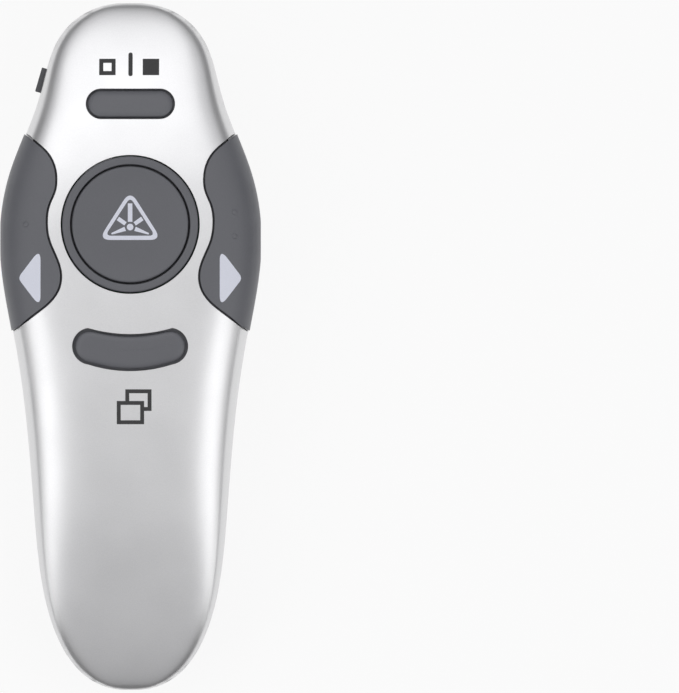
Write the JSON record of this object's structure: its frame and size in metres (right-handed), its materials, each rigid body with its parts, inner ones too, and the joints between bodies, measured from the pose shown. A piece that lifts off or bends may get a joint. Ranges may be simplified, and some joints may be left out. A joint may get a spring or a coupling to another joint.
{
  "type": "wireless presentation clicker",
  "caption": "Hand-held presentation clicker: slim waisted shell with a humped back, round laser key, wing keys, side power knob, sliding battery cover and a stowed USB receiver.",
  "frame": {"origin": "under the middle of the clicker, at the lowest point of its back, with the keys facing up", "axes": "+X to the right seen from the keys' side, +Y towards the head with the laser window, +Z out of the face with the keys"},
  "size_m": [0.0492, 0.1298, 0.0303],
  "materials": {
    "silver_paint": "fine silver metallic lacquer, satin",
    "grey_ring": "grey satin ring",
    "grey_key": "grey satin plastic",
    "black_plastic": "black matt plastic",
    "board": "green board lacquer",
    "chip": "black moulded package",
    "steel": "plain sheet steel",
    "black_steel": "blackened steel",
    "cell_jacket": "plain dark jacket with bare steel ends",
    "brass": "turned brass",
    "gold": "gold plated",
    "clear": "clear moulded lens",
    "dark_window": "dark red tinted window",
    "white_plastic": "white moulded plastic",
    "plug_steel": "bright tinned sheet steel"
  },
  "bodies": {
    "case": {"face_plate": "silver_paint", "rear_housing": "silver_paint", "button_bezel": "grey_ring", "main_board": "board", "rf_chip": "chip", "crystal": "steel", "screen_switch": "steel", "laser_switch": "steel", "window_switch": "steel", "previous_switch": "steel", "next_switch": "steel", "power_switch_case": "steel", "battery_1": "cell_jacket", "battery_2": "cell_jacket", "front_spring": "steel", "tail_spring": "steel", "front_contacts": "steel", "tail_contact": "steel", "laser_barrel": "brass", "laser_diode": "steel", "laser_lens": "clear", "laser_window": "dark_window", "case_screws": "black_steel"},
    "screen_key": {"screen_button": "grey_key", "screen_plunger": "black_plastic"},
    "laser_key": {"laser_button": "grey_key", "laser_plunger": "black_plastic"},
    "window_key": {"window_button": "grey_key", "window_plunger": "black_plastic"},
    "previous_wing": {"previous_key": "grey_key", "previous_plunger": "black_plastic"},
    "next_wing": {"next_key": "grey_key", "next_plunger": "black_plastic"},
    "power_slider": {"power_knob": "black_plastic"},
    "cover": {"battery_cover": "silver_paint"},
    "receiver": {"receiver_body": "white_plastic", "receiver_plug": "plug_steel", "receiver_tongue": "black_plastic", "receiver_contacts": "gold", "receiver_board": "board"}
  },
  "joints": [
    {"name": "screen_press", "type": "slide", "parent": "case", "child": "screen_key", "axis": [0, 0, -1], "range_m": [0, 0.0004], "stiffness_N_per_m": 300},
    {"name": "laser_press", "type": "slide", "parent": "case", "child": "laser_key", "axis": [0, 0, -1], "range_m": [0, 0.00045], "stiffness_N_per_m": 300},
    {"name": "window_press", "type": "slide", "parent": "case", "child": "window_key", "axis": [0, 0, -1], "range_m": [0, 0.0004], "stiffness_N_per_m": 300},
    {"name": "previous_press", "type": "slide", "parent": "case", "child": "previous_wing", "axis": [0, 0, -1], "range_m": [0, 0.0004], "stiffness_N_per_m": 300},
    {"name": "next_press", "type": "slide", "parent": "case", "child": "next_wing", "axis": [0, 0, -1], "range_m": [0, 0.0004], "stiffness_N_per_m": 300},
    {"name": "power_slide", "type": "slide", "parent": "case", "child": "power_slider", "axis": [-0.2807, -0.9598, 0], "range_m": [0, 0.002]},
    {"name": "cover_slide", "type": "slide", "parent": "case", "child": "cover", "axis": [0, -0.9943, -0.1071], "range_m": [0, 0.088]},
    {"name": "receiver_lift", "type": "slide", "parent": "cover", "child": "receiver", "axis": [0, -0.0872, 0.9962], "range_m": [0, 0.008]}
  ]
}
